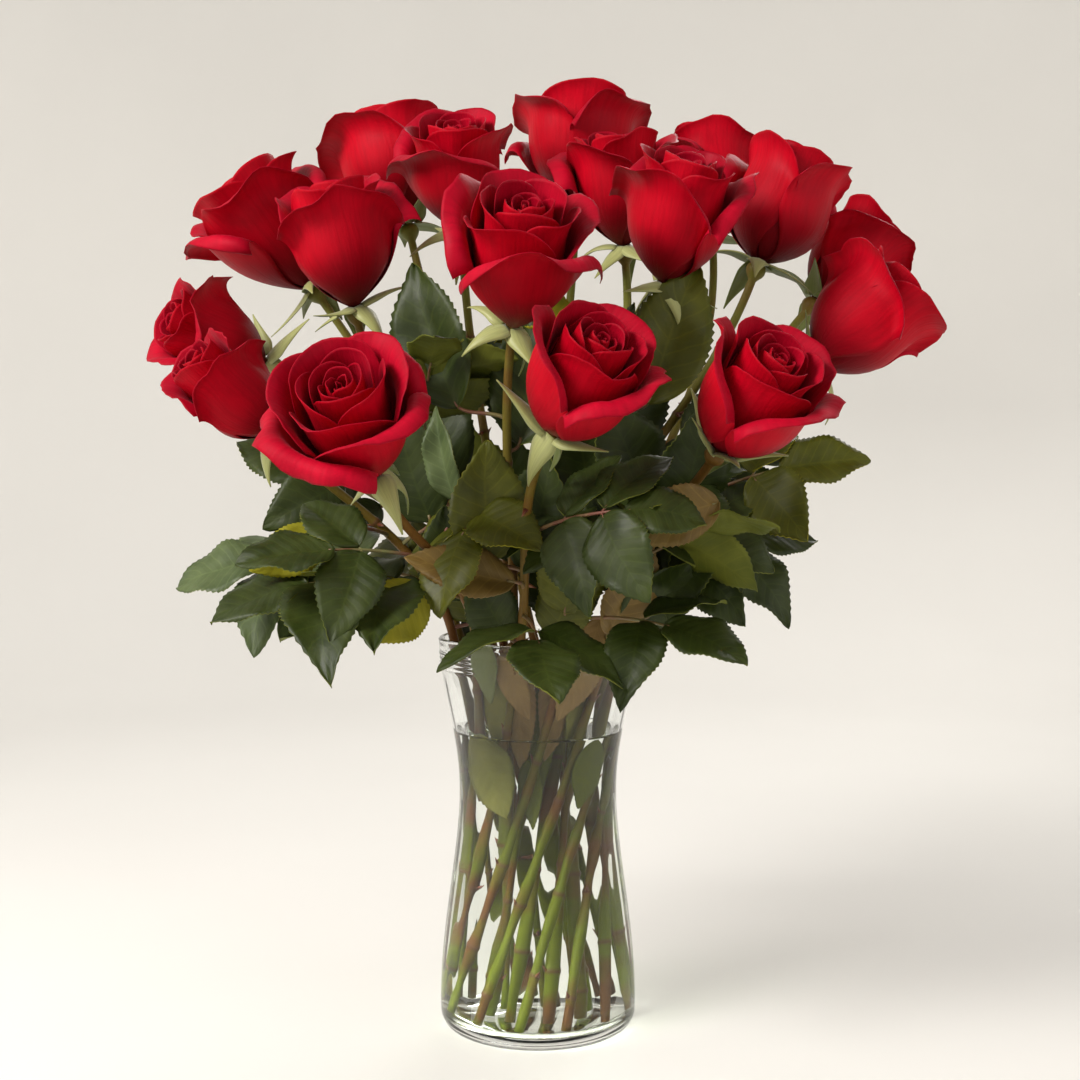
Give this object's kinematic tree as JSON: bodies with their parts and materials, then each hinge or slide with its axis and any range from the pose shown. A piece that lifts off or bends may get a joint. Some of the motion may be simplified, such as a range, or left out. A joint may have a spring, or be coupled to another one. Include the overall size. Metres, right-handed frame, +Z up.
{
  "type": "roses in a vase",
  "caption": "Long-stemmed red roses with their leaves, standing in a waisted clear glass vase of water, to set on a table.",
  "frame": {"origin": "middle of the vase's flat base, on the surface that it stands on", "axes": "+Z up the vase's axis, +X to the right, -Y towards the side that the fullest blooms face"},
  "size_m": [0.4371, 0.3682, 0.5446],
  "materials": {
    "vase_glass": "clear polished",
    "water": "still clear water",
    "petal_red": "velvety petals",
    "stem_green": "smooth green bark",
    "leaf_green": "waxy leaf"
  },
  "bodies": {
    "root": {"leaf_01_five": "leaf_green", "leaf_02_five": "leaf_green", "leaf_03_three": "leaf_green", "leaf_04_three": "leaf_green", "leaf_05_three": "leaf_green", "leaf_06_three": "leaf_green", "leaf_07_five": "leaf_green", "leaf_08_three": "leaf_green", "leaf_09_five": "leaf_green", "leaf_10_three": "leaf_green", "leaf_11_three": "leaf_green", "leaf_12_five": "leaf_green", "leaf_13_five": "leaf_green", "leaf_14_three": "leaf_green", "leaf_15_five": "leaf_green", "leaf_16_five": "leaf_green", "leaf_17_five": "leaf_green", "leaf_18_five": "leaf_green", "leaf_19_five": "leaf_green", "leaf_20_three": "leaf_green", "leaf_21_three": "leaf_green", "leaf_22_three": "leaf_green", "rose_01_bloom": "petal_red", "rose_01_stem": "stem_green", "rose_02_bloom": "petal_red", "rose_02_stem": "stem_green", "rose_03_bloom": "petal_red", "rose_03_stem": "stem_green", "rose_04_bloom": "petal_red", "rose_04_stem": "stem_green", "rose_05_bloom": "petal_red", "rose_05_stem": "stem_green", "rose_06_bloom": "petal_red", "rose_06_stem": "stem_green", "rose_07_bloom": "petal_red", "rose_07_stem": "stem_green", "rose_08_bloom": "petal_red", "rose_08_stem": "stem_green", "rose_09_bloom": "petal_red", "rose_09_stem": "stem_green", "rose_10_bloom": "petal_red", "rose_10_stem": "stem_green", "rose_11_bloom": "petal_red", "rose_11_stem": "stem_green", "rose_12_bloom": "petal_red", "rose_12_stem": "stem_green", "rose_13_bloom": "petal_red", "rose_13_stem": "stem_green", "rose_14_bloom": "petal_red", "rose_14_stem": "stem_green", "rose_15_bloom": "petal_red", "rose_15_stem": "stem_green", "rose_16_bloom": "petal_red", "rose_16_stem": "stem_green", "rose_17_bloom": "petal_red", "rose_17_stem": "stem_green", "rose_18_bloom": "petal_red", "rose_18_stem": "stem_green", "vase": "vase_glass", "water": "water"}
  },
  "joints": []
}
